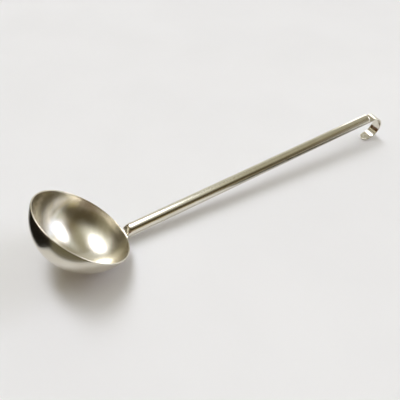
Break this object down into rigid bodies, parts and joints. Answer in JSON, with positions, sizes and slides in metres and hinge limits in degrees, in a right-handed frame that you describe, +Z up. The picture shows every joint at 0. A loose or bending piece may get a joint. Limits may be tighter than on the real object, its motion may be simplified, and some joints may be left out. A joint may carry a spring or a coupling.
{
  "type": "soup ladle",
  "caption": "Sheet-steel soup ladle: a round pressed bowl welded to a long hollow handle, whose flat back strip runs on into a hanging hook.",
  "frame": {"origin": "centre of the bounding box's bottom, on the table that the bowl and the hook's tip rest on", "axes": "+Z up, +X along the handle from the bowl to the hook, +Y across it"},
  "size_m": [0.371, 0.09, 0.0688],
  "materials": {
    "bowl_steel": "satin, spun and polished",
    "shell_steel": "bright polish",
    "strip_steel": "satin, brushed along its length",
    "weld_steel": "ground flush"
  },
  "bodies": {
    "root": {"bowl": "bowl_steel", "handle_shell": "shell_steel", "handle_strip": "strip_steel", "seam_welds": "weld_steel", "spot_welds": "weld_steel"}
  },
  "joints": []
}
